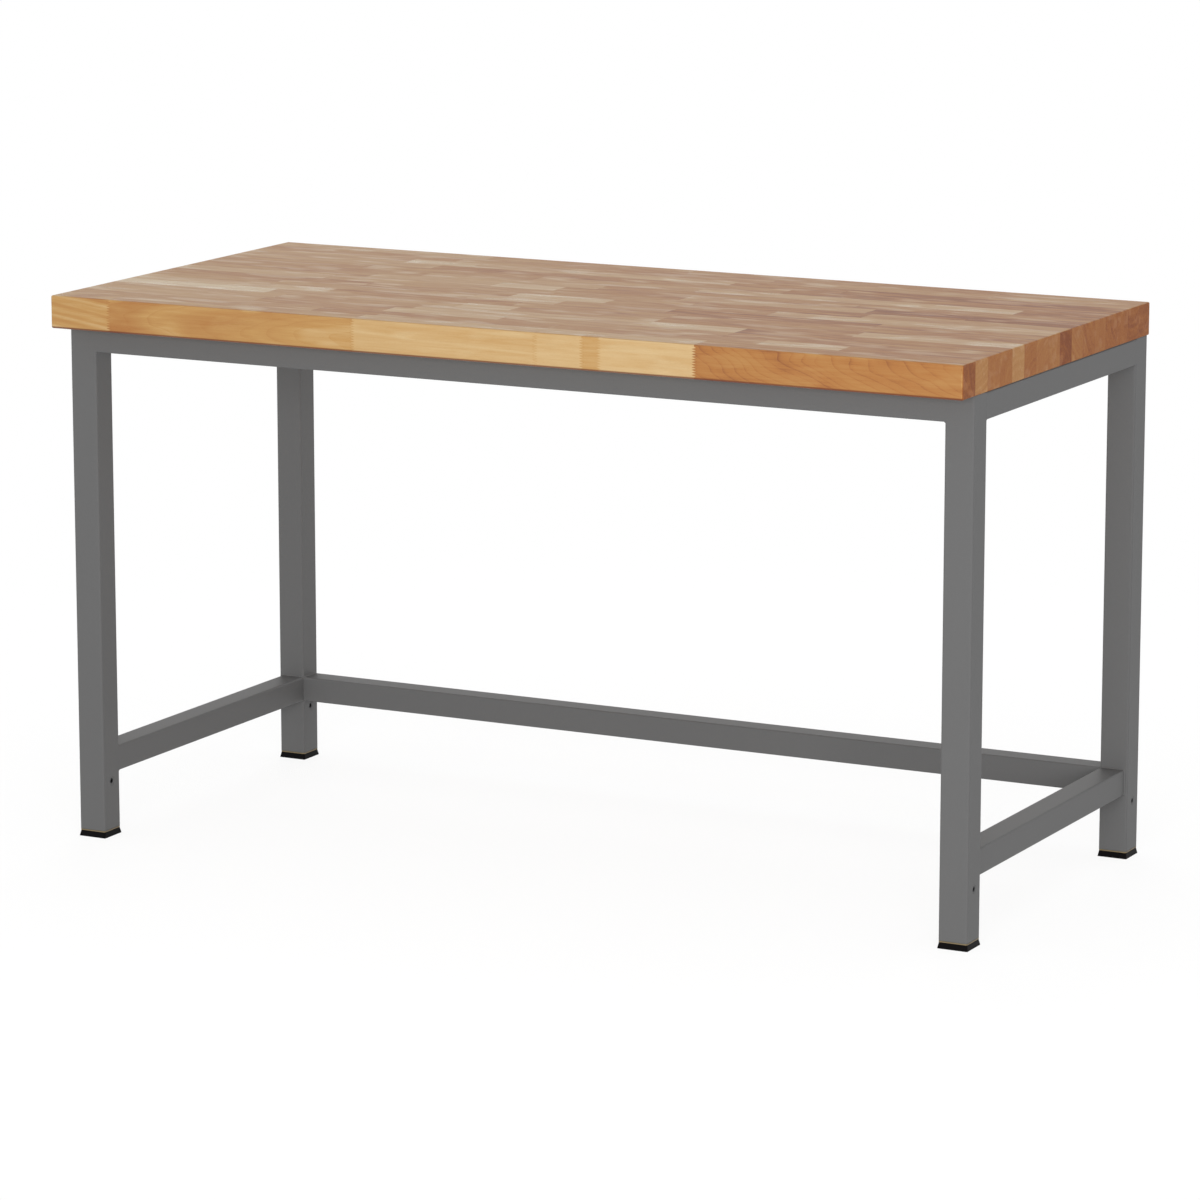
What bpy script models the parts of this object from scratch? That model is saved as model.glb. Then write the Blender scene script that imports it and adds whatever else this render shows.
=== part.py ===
"""Height-adjustable workbench: a beech worktop on a welded square-tube frame with telescopic legs.

Metres, +Z up. The origin is on the floor, under the middle of the worktop. +X runs along the bench
and +Y runs to its rear, so the knee space opens towards -Y.
"""

import math

import bmesh
import bpy
from mathutils import Matrix, Vector

MM = 0.001

# Clearances
SEAT_GAP = 0.3 * MM  # between two pieces that touch
RUNNING_GAP = 0.3 * MM  # each side of a sliding or turning piece
CUT_OVERRUN = 5 * MM  # how far a cutter passes the wall that it cuts

# Worktop
WORKTOP_LENGTH = 1500 * MM
WORKTOP_DEPTH = 700 * MM
WORKTOP_THICKNESS = 50 * MM
WORKTOP_EDGE_RADIUS = 2.5 * MM
WORKING_HEIGHT = 850 * MM  # top face, with the legs drawn in

# Welded frame
END_OVERHANG = 2.5 * MM
FRONT_OVERHANG = 48.5 * MM
REAR_OVERHANG = 1.5 * MM
LEG_SIDE = 45 * MM
LEG_WALL = 2 * MM
RAIL_SIDE = 40 * MM
RAIL_WALL = 2 * MM
TUBE_RADIUS = 3 * MM  # outer corners of every square tube
LOWER_RAIL_BOTTOM = 99 * MM

# Corner plates and tabs that hold the worktop
PLATE_THICKNESS = 4 * MM
PLATE_REACH = 120 * MM  # along each rail, from the frame's outer corner
TAB_LENGTH = 44 * MM
TAB_REACH = 36 * MM
PLATE_HOLE_INSET = 26 * MM  # from the rails' inner faces
WOOD_SCREW_RADIUS = 3 * MM
WOOD_SCREW_DEPTH = 30 * MM  # thread inside the worktop
WOOD_SCREW_HEAD_RADIUS = 6.5 * MM
WOOD_SCREW_HEAD_HEIGHT = 4 * MM
WOOD_SCREW_CROWN_RADIUS = 4.875 * MM  # flat crown of the pan head
WOOD_SCREW_POINT_LENGTH = 6 * MM

# Telescopic extension of each leg
EXTENSION_TRAVEL = 250 * MM
LEAST_OVERLAP = 200 * MM  # tube left inside the leg when it is drawn right out
EXTENSION_SIDE = 35 * MM
EXTENSION_WALL = 2 * MM
SLEEVE_LENGTH = 40 * MM
SLEEVE_COLLAR = 1.6 * MM
GUIDE_HEAD_HEIGHT = 12 * MM
GUIDE_SPIGOT_LENGTH = 20 * MM
PLUG_CORNER_RADIUS = 1.5 * MM  # of the spigots and plugs inside the extension tubes

# Feet
FOOT_HEIGHT = 9 * MM
FOOT_FLARE = 1.25 * MM  # beyond the leg, each side
FOOT_TOP_INSET = 0.3 * MM
FOOT_PLUG_LENGTH = 22 * MM

# Clamp screws
CLAMP_HEIGHT = 87 * MM
CLAMP_BUSH_RADIUS = 6.5 * MM
CLAMP_SCREW_RADIUS = 4 * MM
CLAMP_SCREW_RECESS = 0.5 * MM
CLAMP_SCREW_CHAMFER = 0.4 * MM
CLAMP_SOCKET_RADIUS = 2.3 * MM  # corner radius of the hexagon socket
CLAMP_SOCKET_DEPTH = 2.5 * MM
CLAMP_SOCKET_SIDES = 6

# Roundness
CORNER_STEPS = 4
EDGE_STEPS = 3
ROUND_STEPS = 32
SHARP_ANGLE = math.radians(30)  # edges sharper than this stay sharp when a piece is shaded smooth
MERGE_DISTANCE = 0.01 * MM

# Places worked out from the sizes above
WORKTOP_UNDERSIDE = WORKING_HEIGHT - WORKTOP_THICKNESS
FRAME_TOP = WORKTOP_UNDERSIDE - SEAT_GAP
FRAME_END = WORKTOP_LENGTH / 2 - END_OVERHANG
FRAME_FRONT = -WORKTOP_DEPTH / 2 + FRONT_OVERHANG
FRAME_REAR = WORKTOP_DEPTH / 2 - REAR_OVERHANG
LEG_X = FRAME_END - LEG_SIDE / 2
LEG_Y = {"front": FRAME_FRONT + LEG_SIDE / 2, "rear": FRAME_REAR - LEG_SIDE / 2}
LEG_BOTTOM = FOOT_HEIGHT + SEAT_GAP + SLEEVE_COLLAR + SEAT_GAP
LEG_BORE = LEG_SIDE - 2 * LEG_WALL
EXTENSION_BORE = EXTENSION_SIDE - 2 * EXTENSION_WALL
PLATE_BOTTOM = FRAME_TOP - PLATE_THICKNESS
HOLE_RADIUS = WOOD_SCREW_RADIUS + SEAT_GAP
SIDES = {"left": -1, "right": 1}
CORNERS = [(end, side) for end in ("front", "rear") for side in ("left", "right")]


def clear_scene():
    for obj in list(bpy.data.objects):
        bpy.data.objects.remove(obj, do_unlink=True)


def new_collection(name):
    collection = bpy.data.collections.new(name)
    bpy.context.scene.collection.children.link(collection)
    return collection


def new_material(name, colour, roughness, metallic):
    """A Principled material from an sRGB colour given as three shares of one."""
    material = bpy.data.materials.new(name)
    material.use_nodes = True
    shader = material.node_tree.nodes["Principled BSDF"]
    linear = [((c + 0.055) / 1.055) ** 2.4 for c in colour]
    shader.inputs["Base Color"].default_value = (*linear, 1)
    shader.inputs["Roughness"].default_value = roughness
    shader.inputs["Metallic"].default_value = metallic
    material.diffuse_color = (*linear, 1)
    return material


clear_scene()
BENCH = new_collection("height_adjustable_workbench")
CUTTERS = new_collection("cutters")

BEECH = new_material("oiled_beech", (0.76, 0.55, 0.38), 0.45, 0)
POWDER_COAT = new_material("grey_powder_coat", (0.44, 0.44, 0.44), 0.5, 0)
ZINC = new_material("zinc_plated_steel", (0.72, 0.73, 0.74), 0.35, 1)
BLACK_STEEL = new_material("blackened_steel", (0.09, 0.09, 0.1), 0.45, 1)
BLACK_PLASTIC = new_material("black_polyamide", (0.05, 0.05, 0.055), 0.5, 0)
TAN_PLASTIC = new_material("natural_polyamide", (0.6, 0.52, 0.38), 0.5, 0)


def add_object(name, data, material, parent=None, place=(0, 0, 0), turn=None):
    """Link an object to the bench's collection, and place it in its parent's frame."""
    obj = bpy.data.objects.new(name, data)
    BENCH.objects.link(obj)
    obj.parent = parent
    obj.location = place
    if turn:
        obj.rotation_euler = turn
    data.materials.append(material)
    return obj


def add_axis(name, place):
    """An empty on a joint's axis, which carries the pieces that move along it."""
    empty = bpy.data.objects.new(name, None)
    empty.empty_display_size = LEG_SIDE
    BENCH.objects.link(empty)
    empty.location = place
    return empty


def bar_mesh(name, size, radius=0.0, taper=0.0, lift=0.0):
    """A box centred on Z, standing on Z = lift, whose four upright edges are rounded.

    Taper draws each side of the top face in by that much.
    """
    bm = bmesh.new()
    scale = Matrix.Diagonal((*size, 1))
    raise_up = Matrix.Translation((0, 0, lift + size[2] / 2))
    bmesh.ops.create_cube(bm, size=1, matrix=raise_up @ scale)
    top = lift + size[2]
    for vert in bm.verts:
        if vert.co.z > top - size[2] / 2:
            vert.co.x -= math.copysign(taper, vert.co.x)
            vert.co.y -= math.copysign(taper, vert.co.y)
    if radius:
        upright = [e for e in bm.edges if abs(e.verts[0].co.z - e.verts[1].co.z) > size[2] / 2]
        bmesh.ops.bevel(
            bm, geom=upright, offset=radius, segments=CORNER_STEPS, profile=0.5, affect="EDGES"
        )
    bmesh.ops.recalc_face_normals(bm, faces=bm.faces)
    mesh = bpy.data.meshes.new(name)
    bm.to_mesh(mesh)
    bm.free()
    return mesh


def rod_mesh(name, radius, low, high, steps=ROUND_STEPS):
    """A cylinder on Z from low to high."""
    bm = bmesh.new()
    bmesh.ops.create_cone(
        bm,
        cap_ends=True,
        segments=steps,
        radius1=radius,
        radius2=radius,
        depth=high - low,
        matrix=Matrix.Translation((0, 0, (low + high) / 2)),
    )
    mesh = bpy.data.meshes.new(name)
    bm.to_mesh(mesh)
    bm.free()
    return mesh


def combine(target, operation, mesh, place=(0, 0, 0), turn=None):
    """Join a helper mesh to the target or cut it out of it, placed in the target's own frame."""
    helper = bpy.data.objects.new(f"{target.name}_{mesh.name}", mesh)
    CUTTERS.objects.link(helper)
    helper.hide_render = True
    helper.display_type = "WIRE"
    helper.parent = target
    helper.location = place
    if turn:
        helper.rotation_euler = turn
    modifier = target.modifiers.new(mesh.name, "BOOLEAN")
    modifier.operation = operation
    modifier.solver = "EXACT"
    modifier.object = helper


def smooth(obj):
    obj.data.shade_smooth()
    obj.data.set_sharp_from_angle(angle=SHARP_ANGLE)


def square_tube(name, side, wall, length, material, parent=None, place=(0, 0, 0), turn=None):
    """A hollow square section, open at both ends, that runs up its own Z from its origin."""
    bar = bar_mesh(name, (side, side, length), TUBE_RADIUS)
    tube = add_object(name, bar, material, parent, place, turn)
    smooth(tube)
    bore = side - 2 * wall
    inner_radius = max(TUBE_RADIUS - wall, 0)
    size = (bore, bore, length + 2 * CUT_OVERRUN)
    combine(tube, "DIFFERENCE", bar_mesh("bore", size, inner_radius, lift=-CUT_OVERRUN))
    return tube


def outline_plate(name, outline, hole, thickness, place):
    """A flat plate from an outline in X and Y, with one round hole, its underside at the place."""
    curve = bpy.data.curves.new(name, "CURVE")
    curve.dimensions = "2D"
    curve.fill_mode = "BOTH"
    curve.extrude = thickness / 2
    turn = 2 * math.pi / ROUND_STEPS
    ring = [
        (hole[0] + HOLE_RADIUS * math.cos(i * turn), hole[1] + HOLE_RADIUS * math.sin(i * turn))
        for i in range(ROUND_STEPS)
    ]
    for points in (outline, ring):
        spline = curve.splines.new("POLY")
        spline.points.add(len(points) - 1)
        for point, (x, y) in zip(spline.points, points):
            point.co = (x, y, 0, 1)
        spline.use_cyclic_u = True
    centre = Vector(place) + Vector((0, 0, thickness / 2))
    return add_object(name, curve, POWDER_COAT, None, centre)


def turned(name, profile, material, parent=None, place=(0, 0, 0), turn=None):
    """A turned piece from (radius, height) points that run down its outer side, top to bottom."""
    mesh = bpy.data.meshes.new(name)
    edges = [(i, i + 1) for i in range(len(profile) - 1)]
    mesh.from_pydata([(radius, 0, height) for radius, height in profile], edges, [])
    obj = add_object(name, mesh, material, parent, place, turn)
    screw = obj.modifiers.new("turn", "SCREW")
    screw.axis = "Z"
    screw.steps = ROUND_STEPS
    screw.render_steps = ROUND_STEPS
    screw.use_merge_vertices = True
    screw.merge_threshold = MERGE_DISTANCE
    screw.use_smooth_shade = False
    return obj


# Places of the worktop's six screws
SCREW_INSET = RAIL_SIDE + PLATE_HOLE_INSET
SCREW_PLACES = {
    f"{end}_{side}": (
        SIDES[side] * (FRAME_END - SCREW_INSET),
        FRAME_FRONT + SCREW_INSET if end == "front" else FRAME_REAR - SCREW_INSET,
    )
    for end, side in CORNERS
}
SCREW_PLACES["front_middle"] = (0, FRAME_FRONT + SCREW_INSET)
SCREW_PLACES["rear_middle"] = (0, FRAME_REAR - SCREW_INSET)


def make_worktop():
    """One glued beech panel with softened edges and blind pilot holes in its underside."""
    size = (WORKTOP_LENGTH, WORKTOP_DEPTH, WORKTOP_THICKNESS)
    panel = add_object("worktop", bar_mesh("worktop", size), BEECH, None, (0, 0, WORKTOP_UNDERSIDE))
    bevel = panel.modifiers.new("softened_edges", "BEVEL")
    bevel.width = WORKTOP_EDGE_RADIUS
    bevel.segments = EDGE_STEPS
    bevel.limit_method = "ANGLE"
    for place, (x, y) in SCREW_PLACES.items():
        depth = WOOD_SCREW_DEPTH + SEAT_GAP
        pilot = rod_mesh(f"pilot_{place}", HOLE_RADIUS, -CUT_OVERRUN, depth)
        combine(panel, "DIFFERENCE", pilot, (x, y, 0))


def make_leg_tube(end, side):
    """The fixed outer tube of one leg, with the round hole that takes its clamp bush."""
    place = (SIDES[side] * LEG_X, LEG_Y[end], LEG_BOTTOM)
    length = FRAME_TOP - LEG_BOTTOM
    name = f"leg_tube_{end}_{side}"
    tube = square_tube(name, LEG_SIDE, LEG_WALL, length, POWDER_COAT, None, place)
    inside_bore = LEG_BORE / 4
    hole = rod_mesh("clamp_hole", CLAMP_BUSH_RADIUS + SEAT_GAP, inside_bore, LEG_SIDE)
    across = (0, math.pi / 2, 0)
    combine(tube, "DIFFERENCE", hole, (0, 0, CLAMP_HEIGHT - LEG_BOTTOM), across)


def rail_along_x(name, centre_y, centre_z):
    """A rail between the left and right legs."""
    half = FRAME_END - LEG_SIDE - SEAT_GAP
    place = (-half, centre_y, centre_z)
    turn = (0, math.pi / 2, 0)
    square_tube(name, RAIL_SIDE, RAIL_WALL, 2 * half, POWDER_COAT, None, place, turn)


def rail_along_y(name, centre_x, centre_z):
    """A rail between a front and a rear leg."""
    start = FRAME_FRONT + LEG_SIDE + SEAT_GAP
    length = FRAME_REAR - LEG_SIDE - SEAT_GAP - start
    place = (centre_x, start, centre_z)
    turn = (-math.pi / 2, 0, 0)
    square_tube(name, RAIL_SIDE, RAIL_WALL, length, POWDER_COAT, None, place, turn)


def make_rails():
    """Top rails flush with the legs' outer faces, lower rails flush with their inner faces."""
    top = FRAME_TOP - RAIL_SIDE / 2
    low = LOWER_RAIL_BOTTOM + RAIL_SIDE / 2
    flush_outside = FRAME_END - RAIL_SIDE / 2
    flush_inside = FRAME_END - LEG_SIDE + RAIL_SIDE / 2
    rail_along_x("top_rail_front", FRAME_FRONT + RAIL_SIDE / 2, top)
    rail_along_x("top_rail_rear", FRAME_REAR - RAIL_SIDE / 2, top)
    rail_along_x("lower_rail_rear", FRAME_REAR - LEG_SIDE + RAIL_SIDE / 2, low)
    for side, sign in SIDES.items():
        rail_along_y(f"top_rail_{side}", sign * flush_outside, top)
        rail_along_y(f"lower_rail_{side}", sign * flush_inside, low)


def make_corner_plate(end, side):
    """A three-cornered plate in an upper corner of the frame, notched to clear the leg."""
    rail = RAIL_SIDE + SEAT_GAP
    leg = LEG_SIDE + SEAT_GAP
    inward = [(leg, rail), (PLATE_REACH, rail), (rail, PLATE_REACH), (rail, leg), (leg, leg)]
    toward = (-SIDES[side], 1 if end == "front" else -1)
    corner = (SIDES[side] * FRAME_END, FRAME_FRONT if end == "front" else FRAME_REAR)
    outline = [(corner[0] + toward[0] * u, corner[1] + toward[1] * v) for u, v in inward]
    hole = SCREW_PLACES[f"{end}_{side}"]
    place = (0, 0, PLATE_BOTTOM)
    outline_plate(f"corner_plate_{end}_{side}", outline, hole, PLATE_THICKNESS, place)


def make_middle_tab(end):
    """A short tab halfway along a long top rail."""
    toward = 1 if end == "front" else -1
    face = FRAME_FRONT if end == "front" else FRAME_REAR
    near = face + toward * (RAIL_SIDE + SEAT_GAP)
    far = face + toward * (RAIL_SIDE + TAB_REACH)
    half = TAB_LENGTH / 2
    outline = [(-half, near), (half, near), (half, far), (-half, far)]
    hole = SCREW_PLACES[f"{end}_middle"]
    outline_plate(f"fixing_tab_{end}", outline, hole, PLATE_THICKNESS, (0, 0, PLATE_BOTTOM))


def make_wood_screw(where, x, y):
    """A pan-head screw that goes up through a plate into the worktop.

    Its origin is where the head's rim bears on the plate.
    """
    head_top = PLATE_BOTTOM - SEAT_GAP
    tip = WORKTOP_UNDERSIDE + WOOD_SCREW_DEPTH - head_top
    shank_end = tip - WOOD_SCREW_POINT_LENGTH
    profile = [
        (0, tip),
        (WOOD_SCREW_RADIUS, shank_end),
        (WOOD_SCREW_RADIUS, 0),
        (WOOD_SCREW_HEAD_RADIUS, 0),
        (WOOD_SCREW_HEAD_RADIUS, -WOOD_SCREW_HEAD_HEIGHT / 2),
        (WOOD_SCREW_CROWN_RADIUS, -WOOD_SCREW_HEAD_HEIGHT),
        (0, -WOOD_SCREW_HEAD_HEIGHT),
    ]
    turned(f"worktop_screw_{where}", profile, ZINC, None, (x, y, head_top))


def make_guide_sleeve(end, side):
    """The bush in a leg's mouth.

    It has a thin collar below the tube, and a sleeve that the extension slides in.
    """
    outer = LEG_BORE - 2 * SEAT_GAP
    bore = EXTENSION_SIDE + 2 * RUNNING_GAP
    shaft = (outer, outer, SEAT_GAP + SLEEVE_COLLAR + SLEEVE_LENGTH)
    place = (SIDES[side] * LEG_X, LEG_Y[end], FOOT_HEIGHT + SEAT_GAP)
    name = f"guide_sleeve_{end}_{side}"
    shaft_radius = max(TUBE_RADIUS - LEG_WALL, SEAT_GAP)
    sleeve = add_object(name, bar_mesh(name, shaft, shaft_radius), TAN_PLASTIC, None, place)
    combine(sleeve, "UNION", bar_mesh("collar", (LEG_SIDE, LEG_SIDE, SLEEVE_COLLAR), TUBE_RADIUS))
    cut = (bore, bore, shaft[2] + 2 * CUT_OVERRUN)
    bore_radius = max(TUBE_RADIUS - RUNNING_GAP, 0)
    combine(sleeve, "DIFFERENCE", bar_mesh("bore", cut, bore_radius, lift=-CUT_OVERRUN))


def make_extension(end, side):
    """The sliding part of one leg: an inner tube, a guide plug in its top and a foot in its bottom."""
    axis = add_axis(f"extension_axis_{end}_{side}", (SIDES[side] * LEG_X, LEG_Y[end], 0))
    length = EXTENSION_TRAVEL + LEAST_OVERLAP
    bottom = FOOT_HEIGHT + SEAT_GAP
    tube_name = f"extension_tube_{end}_{side}"
    square_tube(tube_name, EXTENSION_SIDE, EXTENSION_WALL, length, ZINC, axis, (0, 0, bottom))
    make_guide_plug(f"guide_plug_{end}_{side}", axis, bottom + length + SEAT_GAP)
    make_foot(f"foot_{end}_{side}", axis)


def make_guide_plug(name, axis, height):
    """A cap that runs in the leg's bore, with a spigot that hangs inside the extension tube."""
    head_side = LEG_BORE - 2 * RUNNING_GAP
    spigot_side = EXTENSION_BORE - 2 * SEAT_GAP
    head = bar_mesh(name, (head_side, head_side, GUIDE_HEAD_HEIGHT), TUBE_RADIUS)
    plug = add_object(name, head, BLACK_PLASTIC, axis, (0, 0, height))
    reach = GUIDE_SPIGOT_LENGTH + GUIDE_HEAD_HEIGHT / 2
    spigot = (spigot_side, spigot_side, reach)
    combine(plug, "UNION", bar_mesh("spigot", spigot, PLUG_CORNER_RADIUS, lift=-GUIDE_SPIGOT_LENGTH))


def make_foot(name, axis):
    """A foot that flares to a sharp lower edge, with a plug pushed up into the extension tube."""
    base_side = LEG_SIDE + 2 * FOOT_FLARE
    base = bar_mesh(name, (base_side, base_side, FOOT_HEIGHT), taper=FOOT_FLARE + FOOT_TOP_INSET)
    foot = add_object(name, base, BLACK_PLASTIC, axis)
    plug_side = EXTENSION_BORE - 2 * SEAT_GAP
    plug = (plug_side, plug_side, FOOT_PLUG_LENGTH + FOOT_HEIGHT / 2)
    combine(foot, "UNION", bar_mesh("plug", plug, PLUG_CORNER_RADIUS, lift=FOOT_HEIGHT / 2))


def make_clamp(end, side):
    """A threaded bush in the leg's wall, and the set screw that presses on the extension tube."""
    face = SIDES[side] * LEG_X + LEG_SIDE / 2
    place = (face, LEG_Y[end], CLAMP_HEIGHT)
    along_x = (0, math.pi / 2, 0)
    room = (LEG_SIDE - EXTENSION_SIDE) / 2
    bore = CLAMP_SCREW_RADIUS + RUNNING_GAP
    inner_end = -room + 2 * RUNNING_GAP
    bush_name = f"clamp_bush_{end}_{side}"
    bush_mesh = rod_mesh(bush_name, CLAMP_BUSH_RADIUS, inner_end, 0)
    bush = add_object(bush_name, bush_mesh, POWDER_COAT, None, place, along_x)
    combine(bush, "DIFFERENCE", rod_mesh("thread", bore, -room - CUT_OVERRUN, CUT_OVERRUN))
    tip = -room + RUNNING_GAP
    top = -CLAMP_SCREW_RECESS
    rim = CLAMP_SCREW_RADIUS - CLAMP_SCREW_CHAMFER
    profile = [
        (0, top),
        (rim, top),
        (CLAMP_SCREW_RADIUS, top - CLAMP_SCREW_CHAMFER),
        (CLAMP_SCREW_RADIUS, tip + CLAMP_SCREW_CHAMFER),
        (rim, tip),
        (0, tip),
    ]
    screw = turned(f"clamp_screw_{end}_{side}", profile, BLACK_STEEL, None, place, along_x)
    floor = top - CLAMP_SOCKET_DEPTH
    socket = rod_mesh("socket", CLAMP_SOCKET_RADIUS, floor, CUT_OVERRUN, CLAMP_SOCKET_SIDES)
    combine(screw, "DIFFERENCE", socket)


make_worktop()
make_rails()
for end_name, side_name in CORNERS:
    make_leg_tube(end_name, side_name)
    make_corner_plate(end_name, side_name)
    make_guide_sleeve(end_name, side_name)
    make_extension(end_name, side_name)
    make_clamp(end_name, side_name)
make_middle_tab("front")
make_middle_tab("rear")
for where_name, (screw_x, screw_y) in SCREW_PLACES.items():
    make_wood_screw(where_name, screw_x, screw_y)
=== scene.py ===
import math

import bpy
import numpy as np
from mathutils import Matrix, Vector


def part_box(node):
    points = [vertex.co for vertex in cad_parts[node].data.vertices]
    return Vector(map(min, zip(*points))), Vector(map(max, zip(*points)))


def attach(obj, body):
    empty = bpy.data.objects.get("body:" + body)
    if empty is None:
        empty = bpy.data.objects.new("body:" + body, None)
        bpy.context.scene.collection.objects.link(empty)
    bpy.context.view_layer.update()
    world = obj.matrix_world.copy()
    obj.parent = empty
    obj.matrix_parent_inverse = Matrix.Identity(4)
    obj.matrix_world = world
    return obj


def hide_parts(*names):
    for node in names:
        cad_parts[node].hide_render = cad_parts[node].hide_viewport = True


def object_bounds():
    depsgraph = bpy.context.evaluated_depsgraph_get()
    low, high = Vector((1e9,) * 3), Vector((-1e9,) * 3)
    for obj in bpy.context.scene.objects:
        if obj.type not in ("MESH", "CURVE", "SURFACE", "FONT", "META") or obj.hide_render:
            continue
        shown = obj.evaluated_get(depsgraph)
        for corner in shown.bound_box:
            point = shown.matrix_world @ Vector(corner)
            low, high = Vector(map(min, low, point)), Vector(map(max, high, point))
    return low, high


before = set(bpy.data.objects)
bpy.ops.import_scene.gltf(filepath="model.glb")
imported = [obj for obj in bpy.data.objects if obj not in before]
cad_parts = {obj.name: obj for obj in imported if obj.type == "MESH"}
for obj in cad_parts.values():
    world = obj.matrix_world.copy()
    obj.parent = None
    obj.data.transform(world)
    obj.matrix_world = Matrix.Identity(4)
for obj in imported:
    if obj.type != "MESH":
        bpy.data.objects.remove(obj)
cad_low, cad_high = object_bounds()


# Leg tubes
# Four lengths of square steel tube, cold rolled with rounded corners and a 2 mm wall, cut square and
# deburred. Each has one round hole in its right-hand wall for the clamp bush. Once welded, the whole frame is
# sprayed with dry polyester powder and baked, which leaves an even grey satin skin with a faint orange peel.

MM = 0.001
CORNERS = [(end, side) for end in ("front", "rear") for side in ("left", "right")]
TUBE_RADIUS = 3 * MM
TUBE_WALL = 2 * MM
DEBURRED_EDGE = 0.3 * MM
FLAT_RIM = 0.4 * MM  # strip of flat beside each rounding, which keeps the broad faces shaded flat
SHARP_ANGLE = math.radians(35)  # steeper edges stay sharp
CLAMP_HOLE_RADIUS = 6.8 * MM
CLAMP_HOLE_STEPS = 48
CLAMP_HEIGHT = 87 * MM

COAT_GREY = "#696969"
COAT_LIGHTER = "#6D6D6D"
COAT_GRAIN = 0.7 * MM  # coarser than real grains, so that it shows
COAT_PEEL = 1.8 * MM  # width of one dimple of the orange peel
COAT_PEEL_DEPTH = 0.05 * MM


def linear(hex_code):
    """An sRGB hex colour as linear red, green, blue and alpha."""
    share = np.array([int(hex_code[i:i + 2], 16) for i in (1, 3, 5)]) / 255
    value = np.where(share <= 0.04045, share / 12.92, ((share + 0.055) / 1.055) ** 2.4)
    return (*value.tolist(), 1.0)


def fill(made, inputs):
    """Gives a node's inputs their values, or links them. A node among them stands for its first output.

    Inputs are a row from the first socket on, or a dictionary.
    """
    for socket, value in inputs.items() if isinstance(inputs, dict) else enumerate(inputs):
        value = value.outputs[0] if isinstance(value, bpy.types.Node) else value
        if isinstance(value, bpy.types.NodeSocket):
            made.id_data.links.new(value, made.inputs[socket])
        else:
            made.inputs[socket].default_value = value
    return made


def node(tree, kind, inputs=(), operation=None, **settings):
    """Adds a node with its settings, and fills its inputs."""
    made = tree.nodes.new("ShaderNode" + kind)
    if operation:
        made.operation = operation
    for name, value in settings.items():
        setattr(made, name, value)
    return fill(made, inputs)


def new_material(name):
    """A material with nodes, and its node tree."""
    material = bpy.data.materials.new(name)
    material.use_nodes = True
    return material, material.node_tree


def finish(tree, **inputs):
    """Fills the inputs of a material's Principled shader."""
    fill(tree.nodes["Principled BSDF"], {name.replace("_", " "): value for name, value in inputs.items()})


def grain_of(tree, width, detail=2.0, stretch=(1, 1, 1)):
    """Noise on Object coordinates whose blotches are about the given width, in metres, times the stretch."""
    place = node(tree, "TexCoord").outputs["Object"]
    scale = [1 / (width * s) for s in stretch]
    spread = node(tree, "VectorMath", (place, scale), "MULTIPLY")
    return node(tree, "TexNoise", {"Vector": spread, "Scale": 1.0, "Detail": detail})


def powder_coat():
    """Polyester powder, baked: a grey with a barely lighter grain, satin, over a shallow orange peel."""
    material, tree = new_material("grey polyester powder coat")
    speck = node(tree, "ValToRGB", (grain_of(tree, COAT_GRAIN),))
    for stop, position, colour in zip(speck.color_ramp.elements, (0.35, 0.7), (COAT_GREY, COAT_LIGHTER)):
        stop.position = position
        stop.color = linear(colour)
    peel = grain_of(tree, COAT_PEEL, 1.0)
    bump = node(tree, "Bump", {"Height": peel, "Distance": COAT_PEEL_DEPTH, "Strength": 0.5})
    finish(tree, Base_Color=speck, Roughness=0.5, IOR=1.5, Specular_IOR_Level=0.25, Normal=bump)
    return material


POWDER_COAT = powder_coat()


def placed(name, data):
    """A new object with the given data, linked to the scene."""
    made = bpy.data.objects.new(name, data)
    bpy.context.scene.collection.objects.link(made)
    return made


def surface(name, grid, material, wrap_rows=False, capped=False):
    """A mesh from a grid of points: rows run along the piece, columns anticlockwise round it and meet."""
    rows, columns = grid.shape[:2]
    index = np.arange(rows * columns).reshape(rows, columns)
    around = np.roll(index, -1, axis=1)
    here = index if wrap_rows else index[:-1]
    there = np.roll(index, -1, axis=0) if wrap_rows else index[1:]
    around_there = np.roll(around, -1, axis=0) if wrap_rows else around[1:]
    quads = np.stack([here, around[:len(here)], around_there, there], -1).reshape(-1, 4).tolist()
    if capped:
        quads += [index[0, ::-1].tolist(), index[-1].tolist()]
    mesh = bpy.data.meshes.new(name)
    mesh.from_pydata(grid.reshape(-1, 3).tolist(), [], quads)
    mesh.shade_smooth()
    mesh.set_sharp_from_angle(angle=SHARP_ANGLE)
    mesh.materials.append(material)
    return placed(name, mesh)


def axes(axis):
    """Rows for the two directions across an axis and the axis itself, right-handed."""
    return np.roll(np.eye(3), -(axis + 1), axis=0)


def rounded(half_wide, half_deep, radius, steps=8):
    """Corner centres and directions of a rounded rectangle, anticlockwise.

    A point of the outline is a centre plus a radius times a direction. One more point on the flat lies a
    rim's width before and after each arc.
    """
    angle = np.linspace(0, np.pi / 2, steps + 1)
    angle = np.concatenate([[0], angle, [np.pi / 2]])
    turn = np.arange(4)[:, None] * np.pi / 2 + angle
    direction = np.stack([np.cos(turn), np.sin(turn)], -1)
    signs = np.array([[1, 1], [-1, 1], [-1, -1], [1, -1]])
    centre = np.repeat((signs * [half_wide - radius, half_deep - radius])[:, None], len(angle), 1)
    forward = np.stack([-direction[..., 1], direction[..., 0]], -1)
    centre[:, 0] -= FLAT_RIM * forward[:, 0]
    centre[:, -1] += FLAT_RIM * forward[:, -1]
    return centre.reshape(-1, 2), direction.reshape(-1, 2)


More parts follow.
